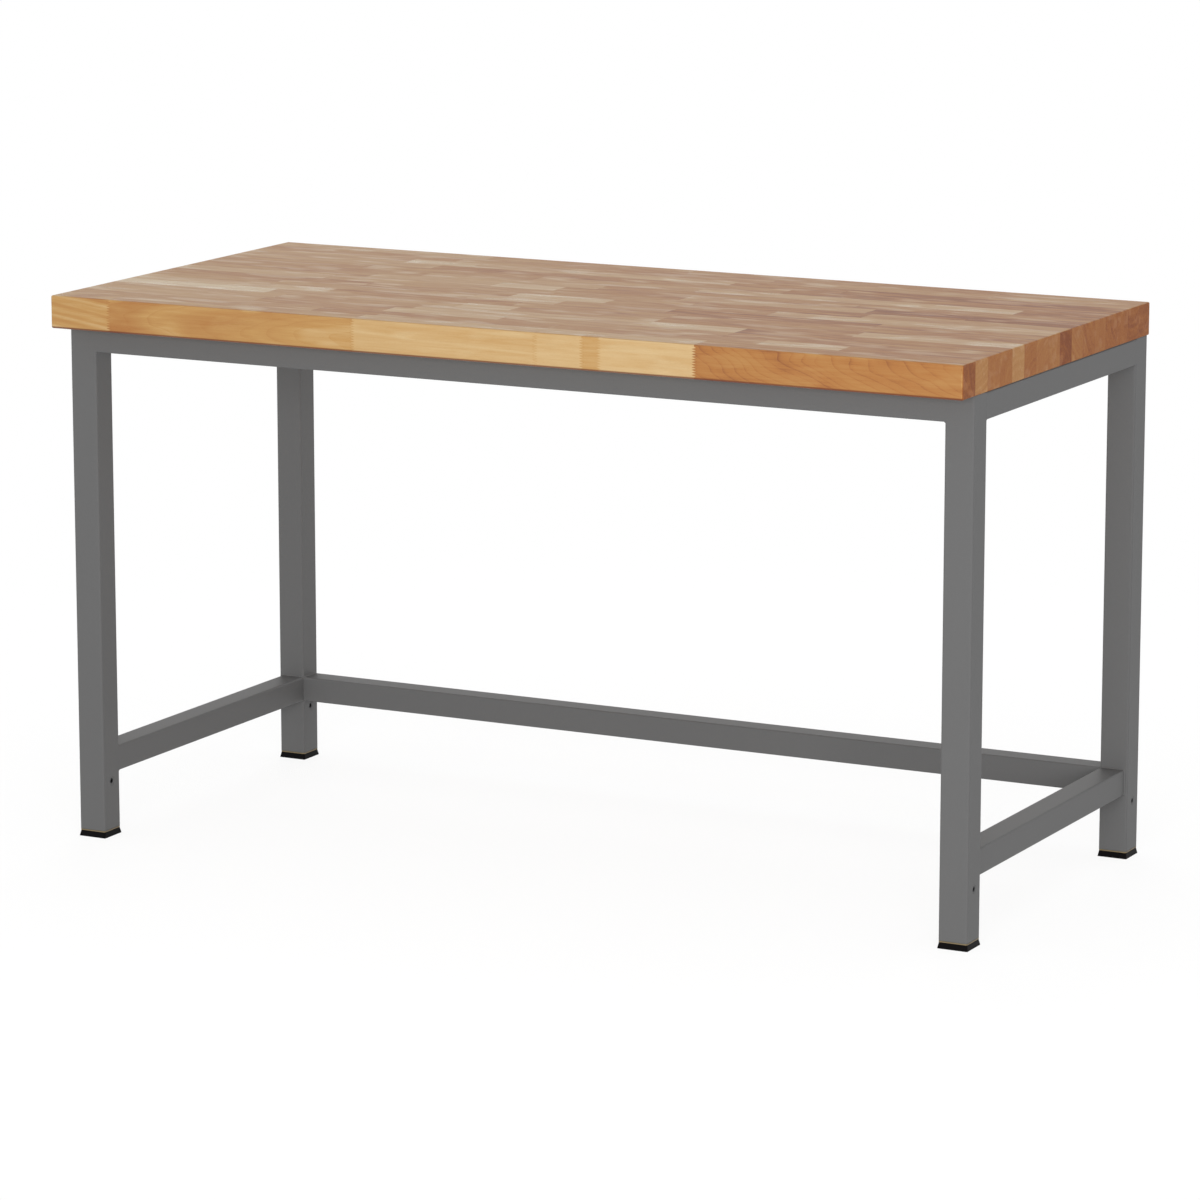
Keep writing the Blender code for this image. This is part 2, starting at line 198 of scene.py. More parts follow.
def square_tube(name, low, high, axis, material):
    """A square tube between two corners of its box.

    Its outline is carried along a closed profile of (inset, height): up the outer wall, over the deburred
    end, down the bore, and under. An inset only shortens the radius, so every ring shares its corner centres.
    """
    low, high = np.array(low), np.array(high)
    half = (high - low) / 2
    top = half[axis]
    edge, rim, wall = DEBURRED_EDGE, DEBURRED_EDGE + FLAT_RIM, TUBE_WALL
    side = [(edge, top), (0, top - edge), (0, top - rim), (0, rim - top), (0, edge - top), (edge, -top)]
    bore = [(wall - edge, -top), (wall, edge - top), (wall, rim - top), (wall, top - rim), (wall, top - edge),
            (wall - edge, top)]
    inset, height = np.array(side[::-1] + bore[::-1]).T
    centre, direction = rounded(half[(axis + 1) % 3], half[(axis + 2) % 3], TUBE_RADIUS)
    flat = centre + (TUBE_RADIUS - inset)[:, None, None] * direction
    along = np.broadcast_to(height[:, None, None], (*flat.shape[:2], 1))
    grid = np.concatenate([flat, along], -1) @ axes(axis) + (low + high) / 2
    return surface(name, grid, material, wrap_rows=True)


def drilled(piece, place, radius, depth):
    """Cuts a round hole into a piece along X, centred on the place."""
    angle = np.linspace(0, 2 * np.pi, CLAMP_HOLE_STEPS, endpoint=False)
    ring = np.stack([np.cos(angle) * radius, np.sin(angle) * radius], -1)
    drill = np.stack([np.column_stack([ring, np.full(len(ring), x)]) for x in (-depth, depth)])
    cutter = surface("drill", drill @ axes(0) + place, POWDER_COAT, capped=True)
    cut = piece.modifiers.new("hole", "BOOLEAN")
    cut.object = cutter
    cut.solver = "EXACT"
    bpy.context.view_layer.update()
    whole = piece.evaluated_get(bpy.context.evaluated_depsgraph_get())
    old = piece.data
    piece.data = bpy.data.meshes.new_from_object(whole)
    piece.modifiers.clear()
    bpy.data.objects.remove(cutter)
    bpy.data.meshes.remove(old)
    piece.data.set_sharp_from_angle(angle=SHARP_ANGLE)


for end, side in CORNERS:
    low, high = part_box(f"leg_tube_{end}_{side}")
    leg = square_tube(f"leg_{end}_{side}", low, high, 2, POWDER_COAT)
    drilled(leg, np.array([high.x, (low.y + high.y) / 2, CLAMP_HEIGHT]), CLAMP_HOLE_RADIUS, 2 * TUBE_WALL)
    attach(leg, "bench")
    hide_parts(f"leg_tube_{end}_{side}")


# Rails
# Seven lengths of 40 mm square tube of the same make, between the legs: four just under the worktop, flush
# with the legs' outer faces, and three near the floor, flush with their inner faces. Each end butts on a leg.

SEAT_GAP = 0.3 * MM
RAILS = {"top_rail_front": 0, "top_rail_rear": 0, "top_rail_left": 1, "top_rail_right": 1,
         "lower_rail_rear": 0, "lower_rail_left": 1, "lower_rail_right": 1}


def rail_box(name, axis):
    """A rail's lowest and highest corners, its ends moved out by the seat gap to meet the legs."""
    low, high = (np.array(corner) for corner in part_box(name))
    low[axis] -= SEAT_GAP
    high[axis] += SEAT_GAP
    return low, high


for name, axis in RAILS.items():
    rail = square_tube(f"{name}_tube", *rail_box(name, axis), axis, POWDER_COAT)
    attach(rail, "bench")
    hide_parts(name)


# Weld beads
# Each rail's end is welded to its leg all round, by hand, with a small fillet whose ripples lie about 1.6 mm
# apart. Where the rail is flush with the leg, the bead only fills the groove and is ground flat before the
# frame is coated.

BEAD_LEG = 1.5 * MM
BEAD_PRESS = 0.22  # how much flatter than a quarter circle it is
BEAD_RIPPLE = 1.6 * MM
RIPPLE_STEPS = 4
RIPPLE_SWELL = 0.05  # how much thicker the bead is on a ripple
WAVER_SWELL = 0.06  # and how much the welder's hand wavers
WAVER_LENGTH = 9 * MM  # for each radian of that sine
BEAD_TALLEST = 1.2 * BEAD_LEG  # more than any bead measures before grinding
BEAD_ROOT = 1.5 * MM  # how far the bead reaches into the rail
BEAD_GROUND = 0.06 * MM  # how proud a ground bead stays
BEAD_SHARP_ANGLE = math.radians(60)
GRIND_FROM = 0.35  # cosine between the outward direction and a flush side's where grinding starts
GRIND_OVER = 0.4  # how much further that cosine goes until the bead is ground flat
GROOVE_DEPTH = 2.9 * MM  # to where the leg's rounded corner begins
OUTWARD = {"front": (0, -1, 0), "rear": (0, 1, 0), "left": (-1, 0, 0), "right": (1, 0, 0)}


def bead_section(size, steps=7):
    """Shares of a fillet's height across and along the rail: a quarter circle pressed a little flat."""
    angle = np.linspace(0, np.pi / 2, steps)
    press = 1 - BEAD_PRESS * np.sin(2 * angle)
    return size[..., None] * np.cos(angle) * press, size[..., None] * np.sin(angle) * press


def coated_bead(name, grid, **kind):
    """A bead of weld, coated with the frame."""
    bead = surface(name, grid, POWDER_COAT, **kind)
    bead.data.set_sharp_from_angle(angle=BEAD_SHARP_ANGLE)
    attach(bead, "bench")


def weld(name, low, high, axis, sign, flush):
    """A bead round one end of a rail.

    At even steps of the rail's outline, its size is rippled by a short sine and wavers by a long one, and its
    section stands on the outward direction. Where that faces a flush side, it is cut off level with the face.
    """
    half = (high - low) / 2
    centre, direction = rounded(half[(axis + 1) % 3], half[(axis + 2) % 3], TUBE_RADIUS)
    corner = centre + TUBE_RADIUS * direction
    step = np.linalg.norm(np.diff(corner, axis=0, append=corner[:1]), axis=1)
    length = np.concatenate([[0], np.cumsum(step)])
    count = int(length[-1] / (BEAD_RIPPLE / RIPPLE_STEPS))
    at = np.linspace(0, length[-1], count, endpoint=False)
    centre, direction = (
        np.column_stack([np.interp(at, length, np.append(part[:, i], part[0, i])) for i in (0, 1)])
        for part in (centre, direction)
    )
    direction /= np.linalg.norm(direction, axis=1, keepdims=True)
    ripple = RIPPLE_SWELL * np.abs(np.sin(np.pi * at / BEAD_RIPPLE))
    waver = WAVER_SWELL * np.sin(at / WAVER_LENGTH)
    across, along = bead_section(BEAD_LEG * (1 + ripple + waver))
    facing = (np.column_stack([direction, np.zeros(count)]) @ axes(axis)) @ np.array(flush).T
    ground = np.clip((facing.max(axis=1) - GRIND_FROM) / GRIND_OVER, 0, 1)[:, None]
    across = np.minimum(across, (1 - ground) * BEAD_TALLEST + BEAD_GROUND)
    depth = SEAT_GAP + (GROOVE_DEPTH - SEAT_GAP) * ground
    root = np.full((count, 1), -BEAD_ROOT)
    across = np.concatenate([root, across[:, :1], across, root], 1)
    along = np.concatenate([-depth, -depth, along, along[:, -1:]], 1)
    flat = centre[:, None] + (TUBE_RADIUS + across)[..., None] * direction[:, None]
    height = sign * (half[axis] - along[..., None])
    grid = np.concatenate([flat, height], -1) @ axes(axis) + (low + high) / 2
    coated_bead(name, grid if sign > 0 else grid[::-1], wrap_rows=True)


for name, axis in RAILS.items():
    low, high = rail_box(name, axis)
    place = name.rsplit("_", 1)[1]
    outward = np.array(OUTWARD[place])
    flush = [outward, (0, 0, 1)] if name.startswith("top") else [-outward]
    ends = ("left", "right") if axis == 0 else ("front", "rear")
    for end, sign in zip(ends, (-1, 1)):
        weld(f"weld_{name}_{end}", low, high, axis, sign, np.array(flush))


# Corner plates and tabs
# Flat 4 mm steel, laser cut and drilled, welded level with the frame's top by short stitches underneath. The
# worktop is screwed down through them.

STITCH_LENGTH = 22 * MM
STITCH_HEIGHT = 2.6 * MM
STITCH_SWELL = 0.06
STITCH_ROOT = 2 * SEAT_GAP  # how far it reaches into the rail
STITCH_REACHES = (24 * MM, 58 * MM)  # along each rail, from their inner corner


def stitch(name, middle, along, across):
    """A short fillet under a plate's edge, from the plate's underside down the rail's face.

    Its height is rippled as the long beads are, and falls to nothing at both ends as a flat-topped hump.
    """
    share = np.linspace(-1, 1, int(STITCH_LENGTH / BEAD_RIPPLE * RIPPLE_STEPS))
    at = share * STITCH_LENGTH / 2
    hump = (1 - share ** 6) ** 0.5
    ripple = STITCH_SWELL * np.abs(np.sin(np.pi * at / BEAD_RIPPLE))
    out, down = bead_section(STITCH_HEIGHT * hump * (1 + ripple))
    root = np.full((len(share), 1), -STITCH_ROOT)
    out = np.concatenate([root, out, root], 1)
    down = np.concatenate([root, down, down[:, -1:]], 1)
    along, across = np.array(along, float), np.array(across, float)
    path = middle + at[:, None, None] * along
    grid = path + out[..., None] * across - down[..., None] * np.array([0, 0, 1])
    turned_right = np.dot(np.cross(across, (0, 0, -1)), along) > 0
    coated_bead(name, grid if turned_right else grid[:, ::-1], capped=True)


def rail_face(low, high, toward):
    """Where the rail's inner face lies beside a plate that reaches from it towards that side."""
    return (low if toward > 0 else high) - toward * SEAT_GAP


plates = [f"corner_plate_{end}_{side}" for end, side in CORNERS] + ["fixing_tab_front", "fixing_tab_rear"]
for name in plates:
    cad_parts[name].material_slots[0].material = POWDER_COAT

for end, side in CORNERS:
    low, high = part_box(f"corner_plate_{end}_{side}")
    toward_x = -OUTWARD[side][0]
    toward_y = -OUTWARD[end][1]
    face_x = rail_face(low.x, high.x, toward_x)
    face_y = rail_face(low.y, high.y, toward_y)
    for number, reach in enumerate(STITCH_REACHES, 1):
        on_x = np.array([face_x + toward_x * reach, face_y, low.z])
        stitch(f"stitch_{end}_{side}_along_{number}", on_x, (1, 0, 0), (0, toward_y, 0))
        on_y = np.array([face_x, face_y + toward_y * reach, low.z])
        stitch(f"stitch_{end}_{side}_across_{number}", on_y, (0, 1, 0), (toward_x, 0, 0))

for end in ("front", "rear"):
    low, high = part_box(f"fixing_tab_{end}")
    toward_y = -OUTWARD[end][1]
    face_y = rail_face(low.y, high.y, toward_y)
    stitch(f"stitch_tab_{end}", np.array([0, face_y, low.z]), (1, 0, 0), (0, toward_y, 0))


# Clamp bushes
# Four steel bushes pressed into the legs' right-hand walls and coated with them, threaded for an 8 mm screw.

BUSH_RADIUS = 6.5 * MM
BUSH_CHAMFER = 0.25 * MM
BUSH_INNER_SINK = 0.4 * MM  # how much wider than its bore the bush is at either mouth
BUSH_OUTER_SINK = 0.5 * MM
BUSH_THREAD_DEPTH = 0.25 * MM
BUSH_THREAD_END = 0.6 * MM  # from a mouth to the thread
BUSH_THREAD_STEPS = 6  # in each pitch
THREAD_RADIUS = 4 * MM
THREAD_PITCH = 1.25 * MM
THREAD_DEPTH = 0.55 * MM
THREAD_PLAY = 0.25 * MM
BUSH_BORE = THREAD_RADIUS + THREAD_PLAY
ROUND_STEPS = 64


def turned(name, radius, height, place, material, shape):
    """A piece turned about X through the place: (radius, height) rows carried round in a full circle.

    Shape changes the radii of the rows by their height and the angle of each column.
    """
    angle = np.linspace(0, 2 * np.pi, ROUND_STEPS, endpoint=False)
    radii = shape(np.repeat(radius[:, None], ROUND_STEPS, 1), height[:, None], angle)
    flat = np.stack([radii * np.cos(angle), radii * np.sin(angle)], -1)
    along = np.broadcast_to(height[:, None, None], (len(height), ROUND_STEPS, 1))
    grid = np.concatenate([flat, along], -1) @ axes(0) + place
    return surface(name, grid, material, wrap_rows=True)


def threaded(radii, height, angle, crest, depth):
    """Where the radius is the thread's, it falls from the crest by a triangle wave of height less turn."""
    phase = (height / THREAD_PITCH - angle / (2 * np.pi)) % 1
    return np.where(np.isclose(radii, crest), crest - depth * np.abs(2 * phase - 1), radii)


def bush_shape(radii, height, angle):
    """Thread in the bore."""
    return threaded(radii, height, angle, BUSH_BORE, BUSH_THREAD_DEPTH)


def right_face(low, high):
    """The middle of a box's right-hand face."""
    return np.array([high.x, (low.y + high.y) / 2, (low.z + high.z) / 2])


for end, side in CORNERS:
    low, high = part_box(f"clamp_bush_{end}_{side}")
    long = high.x - low.x
    thread = np.arange(-long + BUSH_THREAD_END, -BUSH_THREAD_END, THREAD_PITCH / BUSH_THREAD_STEPS)
    rows = [
        (BUSH_BORE + BUSH_INNER_SINK, -long),
        (BUSH_RADIUS - BUSH_CHAMFER, -long),
        (BUSH_RADIUS, -long + BUSH_CHAMFER),
        (BUSH_RADIUS, -BUSH_CHAMFER),
        (BUSH_RADIUS - BUSH_CHAMFER, 0),
        (BUSH_BORE + BUSH_OUTER_SINK, 0),
    ]
    rows += [(BUSH_BORE, height) for height in thread[::-1]]
    radius, height = np.array(rows).T
    bush = turned(f"bush_{end}_{side}", radius, height, right_face(low, high), POWDER_COAT, bush_shape)
    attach(bush, "bench")
    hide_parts(f"clamp_bush_{end}_{side}")


# Guide sleeves
# Moulded in natural polyamide, tan and faintly waxy, and pressed into the leg's mouth. Only the thin collar
# below the tube shows.

POLYAMIDE_TAN = "#8A7A5C"
POLYAMIDE_SHADE = "#7C6C50"
POLYAMIDE_CLOUD = 9 * MM  # width of the faint clouds between its two colours
MOULD_TEXTURE = 0.5 * MM  # coarser than real, so that it shows
MOULD_TEXTURE_DEPTH = 0.04 * MM


def clouded(tree, width, detail, *colours):
    """Two colours that change into each other in clouds of about that width."""
    one, other = (linear(colour) for colour in colours)
    mixed = node(tree, "Mix", {0: grain_of(tree, width, detail), 6: one, 7: other}, data_type="RGBA")
    return mixed.outputs[2]


def moulded(name, colour, shade, roughness, gloss):
    """Moulded polyamide: nearly one colour, with the mould's fine matt texture."""
    material, tree = new_material(name)
    mixed = clouded(tree, POLYAMIDE_CLOUD, 1.0, colour, shade)
    texture = grain_of(tree, MOULD_TEXTURE, 3.0)
    bump = node(tree, "Bump", {"Height": texture, "Distance": MOULD_TEXTURE_DEPTH, "Strength": 0.6})
    finish(tree, Base_Color=mixed, Roughness=roughness, IOR=1.53, Specular_IOR_Level=gloss, Normal=bump)
    return material


NATURAL_POLYAMIDE = moulded("natural polyamide, moulded", POLYAMIDE_TAN, POLYAMIDE_SHADE, 0.45, 0.4)
for end, side in CORNERS:
    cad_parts[f"guide_sleeve_{end}_{side}"].material_slots[0].material = NATURAL_POLYAMIDE


# Extension tubes
# Four lengths of 35 mm square steel tube that slide in the legs, drawn bright and zinc plated: a cool light
# metal with faint lines along its length and soft clouds where the plating bath left it uneven.

ZINC_LIGHT = "#BCC1C5"
ZINC_DARK = "#9CA2A7"
ZINC_CLOUD = 22 * MM
DRAW_LINE = 0.6 * MM  # width of a drawing line, coarser than real so that it shows
DRAW_LINE_STRETCH = 60  # how many times longer than wide it is
DRAW_LINE_DEPTH = 0.01 * MM


def zinc_plate():
    """Bright zinc on drawn steel: metal, half polished, brushed along Z."""
    material, tree = new_material("bright zinc plate on drawn steel")
    mixed = clouded(tree, ZINC_CLOUD, 2.0, ZINC_LIGHT, ZINC_DARK)
    lines = grain_of(tree, DRAW_LINE, 1.0, (1, 1, DRAW_LINE_STRETCH))
    rough = node(tree, "MapRange", (lines, 0.3, 0.7, 0.26, 0.4))
    bump = node(tree, "Bump", {"Height": lines, "Distance": DRAW_LINE_DEPTH, "Strength": 0.5})
    finish(tree, Base_Color=mixed, Metallic=1.0, Roughness=rough, Normal=bump)
    return material


ZINC_PLATE = zinc_plate()
for end, side in CORNERS:
    low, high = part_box(f"extension_tube_{end}_{side}")
    inner = square_tube(f"extension_{end}_{side}", low, high, 2, ZINC_PLATE)
    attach(inner, f"extension_{end}_{side}")
    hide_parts(f"extension_tube_{end}_{side}")


# Guide plugs
# Black polyamide caps pressed into the upper ends of the extension tubes, which run in the legs' bores. They
# stay hidden in the legs at every height.

POLYAMIDE_BLACK = "#0C0909"
POLYAMIDE_BLACK_SHADE = "#08080B"

BLACK_POLYAMIDE = moulded("black polyamide, moulded", POLYAMIDE_BLACK, POLYAMIDE_BLACK_SHADE, 0.5, 0.06)
for end, side in CORNERS:
    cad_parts[f"guide_plug_{end}_{side}"].material_slots[0].material = BLACK_POLYAMIDE


# Feet
# Black polyamide glides, moulded in one with a ribbed plug that is pushed up into the extension tube. The
# sides flare a little to a crisp lower edge, and the underside is dished so that only its rim rests.

FOOT_EDGE = 0.3 * MM
FOOT_TOP_INSET = 0.3 * MM  # of its upper edge from the leg's face
FOOT_TOP_RADIUS = 2.7 * MM
FOOT_BASE_RADIUS = 1.4 * MM
FOOT_LIP = 1.2 * MM  # height of the steep strip at the top
FLARE_AT_BASE = 0.1  # shares of the flare drawn in above the edge and at the lip
FLARE_AT_LIP = 0.85
FOOT_RIM = 7 * MM  # width of the rim that rests on the floor
FOOT_RIM_RADIUS = 1.2 * MM
DISH_DEPTH = 1.2 * MM
DISH_RADIUS = 1 * MM
DISH_SLOPE = 1 * MM
DISH_STRIP = 4 * MM
PLUG_HALF = 15.2 * MM
PLUG_CHAMFER = 1 * MM
RIB_DEPTH = 0.5 * MM
RIB_EDGE = 0.4 * MM
RIB_STEP = 4 * MM
FIRST_RIB = 3 * MM  # above the foot
LAST_RIB = 2 * MM  # below the plug's end

for end, side in CORNERS:
    low, high = (np.array(corner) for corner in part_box(f"foot_{end}_{side}"))
    leg_low, leg_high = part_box(f"leg_tube_{end}_{side}")
    half = (high[0] - low[0]) / 2
    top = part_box(f"extension_tube_{end}_{side}")[0].z - SEAT_GAP
    plug_top = high[2]
    flare = half - (leg_high.x - leg_low.x) / 2 + FOOT_TOP_INSET
    rows = [
        (half - FOOT_RIM - DISH_STRIP, DISH_RADIUS, DISH_DEPTH),
        (half - FOOT_RIM - DISH_SLOPE, DISH_RADIUS, DISH_DEPTH),
        (half - FOOT_RIM, DISH_RADIUS, FOOT_EDGE),
        (half - FOOT_RIM + FOOT_EDGE, FOOT_RIM_RADIUS, 0),
        (half - FOOT_EDGE - FLAT_RIM, FOOT_BASE_RADIUS, 0),
        (half - FOOT_EDGE, FOOT_BASE_RADIUS, 0),
        (half, FOOT_BASE_RADIUS, FOOT_EDGE),
        (half - FLARE_AT_BASE * flare, FOOT_BASE_RADIUS, FOOT_EDGE + FLAT_RIM),
        (half - FLARE_AT_LIP * flare, FOOT_TOP_RADIUS, top - FOOT_LIP),
        (half - flare, FOOT_TOP_RADIUS, top - FOOT_EDGE),
        (half - flare - FOOT_EDGE, FOOT_TOP_RADIUS, top),
        (PLUG_HALF, RIB_DEPTH, top),
    ]
    for rib in np.arange(top + FIRST_RIB, plug_top - LAST_RIB, RIB_STEP):
        rows += [(PLUG_HALF - RIB_DEPTH, RIB_DEPTH, rib), (PLUG_HALF, RIB_DEPTH, rib + RIB_EDGE)]
    rows += [(PLUG_HALF, RIB_DEPTH, plug_top - PLUG_CHAMFER), (PLUG_HALF - PLUG_CHAMFER, RIB_DEPTH, plug_top)]
    rings = []
    for reach, radius, height in rows:
        centre, direction = rounded(reach, reach, radius)
        rings.append(np.column_stack([centre + radius * direction, np.full(len(centre), height)]))
    middle = np.array([(low[0] + high[0]) / 2, (low[1] + high[1]) / 2, 0])
    foot = surface(f"glide_{end}_{side}", np.stack(rings) + middle, BLACK_POLYAMIDE, capped=True)
    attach(foot, f"extension_{end}_{side}")
    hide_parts(f"foot_{end}_{side}")


# Clamp screws
# Set screws of 8 mm, hardened and blackened in oil, with a hexagon socket. Each stands half a millimetre
# below the bush's face and presses on the extension tube.

BLACK_OXIDE = "#0E0F12"
BLACK_OXIDE_WORN = "#191A1C"
OXIDE_BLOTCH = 1.2 * MM
SOCKET_REACH = 2.0 * MM  # from the middle to a flat
SOCKET_DEPTH = 2.5 * MM
SOCKET_CHAMFER = 0.3 * MM
SOCKET_MOUTH = 1.2 * SOCKET_REACH  # radius of the round mouth
SCREW_CHAMFER = 0.4 * MM
SCREW_POINT_CHAMFER = 0.3 * MM
SCREW_THREAD_STEPS = 8  # in each pitch
POLE_RADIUS = 0.02 * MM  # of the smallest ring round an axis


def black_oxide():
    """Oiled black oxide on steel: dark, metallic and a little blotchy."""
    material, tree = new_material("oiled black oxide on steel")
    mixed = clouded(tree, OXIDE_BLOTCH, 2.0, BLACK_OXIDE, BLACK_OXIDE_WORN)
    finish(tree, Base_Color=mixed, Metallic=0.7, Roughness=0.42, Specular_IOR_Level=0.2)
    return material


def set_screw_shape(radii, height, angle):
    """Thread on the outside, and a hexagon inside: the flat's reach over the cosine of the angle from it."""
    from_flat = (angle % (np.pi / 3)) - np.pi / 6
    outside = threaded(radii, height, angle, THREAD_RADIUS, THREAD_DEPTH)
    return np.where(radii <= SOCKET_REACH, radii / np.cos(from_flat), outside)


BLACK_STEEL = black_oxide()
for end, side in CORNERS:
    low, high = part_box(f"clamp_screw_{end}_{side}")
    long = high.x - low.x
    core = THREAD_RADIUS - THREAD_DEPTH
    thread = np.arange(-SCREW_CHAMFER, -long + SCREW_POINT_CHAMFER, -THREAD_PITCH / SCREW_THREAD_STEPS)
    rows = [
        (POLE_RADIUS, -SOCKET_DEPTH),
        (SOCKET_REACH, -SOCKET_DEPTH),
        (SOCKET_REACH, -SOCKET_CHAMFER),
        (SOCKET_MOUTH, 0),
        (core, 0),
    ]
    rows += [(THREAD_RADIUS, height) for height in thread]
    rows += [(core, -long), (POLE_RADIUS, -long)]
    radius, height = np.array(rows[::-1]).T
    middle = right_face(low, high)
    screw = turned(f"set_screw_{end}_{side}", radius, height, middle, BLACK_STEEL, set_screw_shape)
    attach(screw, f"clamp_{end}_{side}")
    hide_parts(f"clamp_screw_{end}_{side}")


# Worktop
# Sixteen beech staves, each finger-jointed end to end from shorter lengths, glued side by side, planed,
# sanded and oiled. Every length is its own wood: its colour, and where the heart of its tree lay, are given
# to its faces, so that the growth rings run through the panel as they do in solid timber.

STAVE_COUNT = 16
PANEL_SEED = 3557
PANEL_DEPTH = cad_high.y - cad_low.y
PANEL_THICKNESS = cad_high.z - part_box("worktop")[0].z
EDGE_RADIUS = 2.5 * MM
EDGE_STEPS = 4
USUAL_LENGTH = 330 * MM  # of one length between its finger joints
CUT_SPREAD = 0.25  # of a share, by which a cut may be moved
JOINT_CLEARANCE = 14 * MM  # between joints that share a line across the panel
FINGER_COUNT = 12
FINGER_LENGTH = 7 * MM
NO_JOINT = 100.0  # a place far off the panel, for a stave in one length
SAME_PLACE = 1e-6  # points nearer than this lie on one line
MERGE_DIGITS = 7  # of a place in metres, to which points that meet are alike

# Lengths whose colour or figure stands out: for each stave, counted from the front edge, the places of a
# length's joints in millimetres from the left end, and its tone, where 0 is straw yellow and 1 is red brown.
MARKED_LENGTHS = {
    0: [(0, 103, 0.36), (103, 525, 0.44), (525, 829, 0.17), (829, 905, 0.1), (905, 932, 0.3),
        (932, 1085, 0.1), (1085, 1500, 0.73)],
    1: [(430, 540, 0.72), (1160, 1290, 0.34)],
    2: [(520, 720, 0.35)],
    3: [(920, 1080, 0.28)],
    4: [(0, 270, 0.1), (600, 690, 0.27), (920, 1250, 0.74), (1250, 1500, 0.35)],
    5: [(240, 350, 0.3), (920, 1240, 0.7)],
    6: [(570, 720, 0.35), (900, 1240, 0.82)],
    7: [(620, 780, 0.3), (1050, 1500, 0.42)],
    9: [(540, 650, 0.25), (1170, 1330, 0.9)],
    10: [(700, 1130, 0.7)],
    11: [(1230, 1370, 0.34)],
    12: [(970, 1060, 0.8)],
    13: [(290, 410, 0.28), (860, 1050, 0.74)],
    15: [(1070, 1270, 0.74)],
}
USUAL_TONE = (0.61, 0.12)  # mean and spread
TONE_AND_SHEEN_DRIFT = 0.3  # from the left end to the right one, the lengths get this much redder; partly painted sheen, paler at the left end where the top shines more
FRONT_INNER_TONE = 0.6  # the front stave's pale sapwood shows on its front, and its top is nearer to this
END_TONES = (0.88, 0.37, 0.64, 0.66, 0.3, 0.7, 0.6, 0.6, 0.95, 0.64, 0.72, 0.68, 0.78, 0.76, 0.84, 0.84)
HEART_REACH = (15, 90)  # millimetres from a stave's middle to the heart of its tree
USUAL_LEAN = 0.03
USUAL_FIGURE = (3.2, 0.3, 0.8)
FIGURE_SPREAD = (0.7, 1.4)  # by which each value of the usual figure is multiplied
FIGURE_TONE = 0.5  # late wood is darker in lengths redder than this
# For lengths along the front edge: the heart's place behind and above the stave's middle, in millimetres, how
# much nearer the front and lower it comes in each millimetre to the right, and the figure, which is the width
# of a growth ring in millimetres, how dark its late wood is, and how strongly good and lean years differ.
FRONT_FIGURES = {
    0: ((0, 100), (0, 0.15), (3.2, 0.3, 2.6)),
    1: ((44.5, -4), (0.062, 0.008), (3.4, 0.45, 2.4)),
    6: ((92, 24), (0.12, 0), (2.8, 0.75, 0.6)),
}

BEECH_STRAW = "#D5B685"
BEECH_TAN = "#C2965B"
BEECH_ORANGE = "#B7854D"
BEECH_RED = "#AE7540"
BEECH_BROWN = "#8C5534"
# Colour of the painted shade on the worktop's lower edge, where its rounding turns down away from the light
PAINTED_EDGE_SHADE = "#6B3420"
END_GRAIN = "#F3DBBF"  # multiplies the colour on end grain, which drinks the oil
WHITE = (1, 1, 1, 1)
# Blotches of the wood's noises in each millimetre along, across and through it
FIBRE = (0.03, 0.6, 0.6)
STREAK = (0.008, 0.22, 0.22)
BROAD_BAND = (0.007, 0.05, 0.05)
FLECK = (0.011, 0.05, 0.05)
RING_WOBBLE = (0.006, 0.025, 0.025)
WOBBLE_REACH = 9.0  # millimetres that a growth ring strays
FIGURE_CONTRAST = 0.4
RAY_LENGTH = 9 * MM  # rays are about 3 mm long, drawn longer so that they show
RAY_WIDTH = 1.1 * MM
FIBRE_DEPTH = 0.06 * MM
GLUE_LINE = 0.8 * MM  # wider than real, so that it shows
EDGE_GLUE_MORE = 0.7 * MM  # more on each side of a joint on the edges, where its fingers slant
EDGE_SHADE_HEIGHT = 3.8 * MM  # painted shade along the lower edge of the front and rear faces, up to this height
EDGE_SKIN = 0.05 * MM  # points this near the front or rear face lie on it
BASE_SKIN = 0.02 * MM  # and points this near the underside on that


def stave_joints(rng, marked, total):
    """Joint places along one stave: the marked lengths' ends, and cuts that share the rest out.

    A stretch between marked places takes as many cuts as bring it nearest to the usual length. They lie at
    even shares of the stretch, each moved by up to a quarter of a share.
    """
    ends = sorted({0, round(total / MM), *(place for length in marked for place in length[:2])})
    joints = [end * MM for end in ends[1:-1]]
    whole = {length[:2] for length in marked}
    for start, stop in zip(ends, ends[1:]):
        count = max(1, round((stop - start) * MM / USUAL_LENGTH))
        if (start, stop) not in whole and count > 1:
            share = (np.arange(1, count) + rng.uniform(-CUT_SPREAD, CUT_SPREAD, count - 1)) / count
            joints += ((start + share * (stop - start)) * MM).tolist()
    return np.array(sorted(joints))


def panel_joints(rng, total):
    """Joint places of every stave. One that nearly meets a joint of the front or rear stave moves onto it."""
    staves = [stave_joints(rng, MARKED_LENGTHS.get(i, []), total) for i in range(STAVE_COUNT)]
    edge_joints = np.concatenate([staves[0], staves[-1]])
    for i in range(1, STAVE_COUNT - 1):
        near = edge_joints[np.abs(staves[i][:, None] - edge_joints).argmin(1)]
        staves[i] = np.where(np.abs(staves[i] - near) < JOINT_CLEARANCE, near, staves[i])
    return staves


def finger_zigzag(sharp, joints, heights):
    """How far a joint's points on an edge move along X: half a finger to and fro at alternate heights."""
    at_joint = np.abs(sharp[..., :1] - joints).min(-1) < SAME_PLACE
    order = np.abs(sharp[..., 2:] - heights).argmin(-1)
    on_line = np.abs(sharp[..., 2:] - heights).min(-1) < SAME_PLACE
    inside = on_line & (order > 0) & (order < 2 * FINGER_COUNT)
    return np.where(at_joint & inside, (order % 2 - 0.5) * FINGER_LENGTH, 0)


